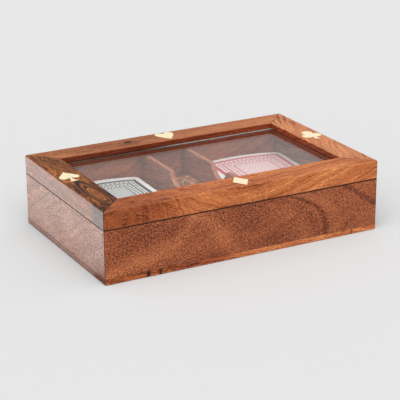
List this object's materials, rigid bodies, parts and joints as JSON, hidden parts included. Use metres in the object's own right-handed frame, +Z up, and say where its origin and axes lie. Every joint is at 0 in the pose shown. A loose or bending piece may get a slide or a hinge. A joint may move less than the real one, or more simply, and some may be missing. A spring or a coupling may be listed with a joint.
{
  "type": "playing card box",
  "caption": "Low hardwood box for playing cards and dice, with a hinged glazed lid inlaid with brass card suits and scooped dividers inside.",
  "frame": {"origin": "middle of the object's outline on the plane it rests on, hinge knuckles included", "axes": "+X along the long side, to the right seen from the front; +Y towards the hinges at the back; +Z up"},
  "size_m": [0.203, 0.1316, 0.049],
  "materials": {
    "wood_base_front": "oiled reddish-brown hardwood with fine open pores",
    "wood_base_side": "oiled reddish-brown hardwood, satin",
    "wood_bottom": "lighter orange-brown hardwood panel",
    "wood_divider": "thin reddish-brown hardwood",
    "wood_lid_front": "swirling warm orange-brown hardwood, satin",
    "wood_lid_back": "reddish-orange hardwood, satin",
    "wood_lid_left": "dark hardwood with black veins, satin",
    "wood_lid_right": "salmon-orange hardwood with dark veins, satin",
    "wood_bead": "plain hardwood glazing bead",
    "wood_die": "dark hardwood with pale drilled pips",
    "pane": "clear float glass, faintly green edge",
    "inlay_brass": "ground flush, pale polished brass",
    "hinge_brass": "rolled brass, satin",
    "card_black": "coated card with a grey-black dotted and banded back",
    "card_red": "coated card with a red dotted and banded back"
  },
  "bodies": {
    "base": {"base_front_wall": "wood_base_front", "base_back_wall": "wood_base_front", "base_left_wall": "wood_base_side", "base_right_wall": "wood_base_side", "base_bottom_panel": "wood_bottom", "divider_left": "wood_divider", "divider_right": "wood_divider", "hinge_left_base_leaf": "hinge_brass", "hinge_right_base_leaf": "hinge_brass", "hinge_left_pin": "hinge_brass", "hinge_right_pin": "hinge_brass", "hinge_base_screws": "hinge_brass"},
    "lid": {"lid_front_rail": "wood_lid_front", "lid_back_rail": "wood_lid_back", "lid_left_rail": "wood_lid_left", "lid_right_rail": "wood_lid_right", "glass_pane": "pane", "glass_bead_front": "wood_bead", "glass_bead_back": "wood_bead", "glass_bead_left": "wood_bead", "glass_bead_right": "wood_bead", "inlay_spade": "inlay_brass", "inlay_heart": "inlay_brass", "inlay_diamond": "inlay_brass", "inlay_club": "inlay_brass", "hinge_left_lid_leaf": "hinge_brass", "hinge_right_lid_leaf": "hinge_brass", "hinge_lid_screws": "hinge_brass"},
    "deck_black": {"card_deck_black": "card_black"},
    "deck_red": {"card_deck_red": "card_red"},
    "die_1": {"die_1": "wood_die"},
    "die_2": {"die_2": "wood_die"},
    "die_3": {"die_3": "wood_die"},
    "die_4": {"die_4": "wood_die"},
    "die_5": {"die_5": "wood_die"}
  },
  "joints": [
    {"name": "lid_hinge", "type": "hinge", "parent": "base", "child": "lid", "pos_m": [0, 0.0639, 0.0364], "axis": [-1, 0, 0], "range_deg": [0, 180]},
    {"name": "deck_black_lift", "type": "slide", "parent": "base", "child": "deck_black", "axis": [0, 0, 1], "range_m": [0, 0.013]},
    {"name": "deck_red_lift", "type": "slide", "parent": "base", "child": "deck_red", "axis": [0, 0, 1], "range_m": [0, 0.013]},
    {"name": "die_1_lift", "type": "slide", "parent": "base", "child": "die_1", "axis": [0, 0, 1], "range_m": [0, 0.016]},
    {"name": "die_2_lift", "type": "slide", "parent": "base", "child": "die_2", "axis": [0, 0, 1], "range_m": [0, 0.016]},
    {"name": "die_3_lift", "type": "slide", "parent": "base", "child": "die_3", "axis": [0, 0, 1], "range_m": [0, 0.016]},
    {"name": "die_4_lift", "type": "slide", "parent": "base", "child": "die_4", "axis": [0, 0, 1], "range_m": [0, 0.016]},
    {"name": "die_5_lift", "type": "slide", "parent": "base", "child": "die_5", "axis": [0, 0, 1], "range_m": [0, 0.016]}
  ]
}
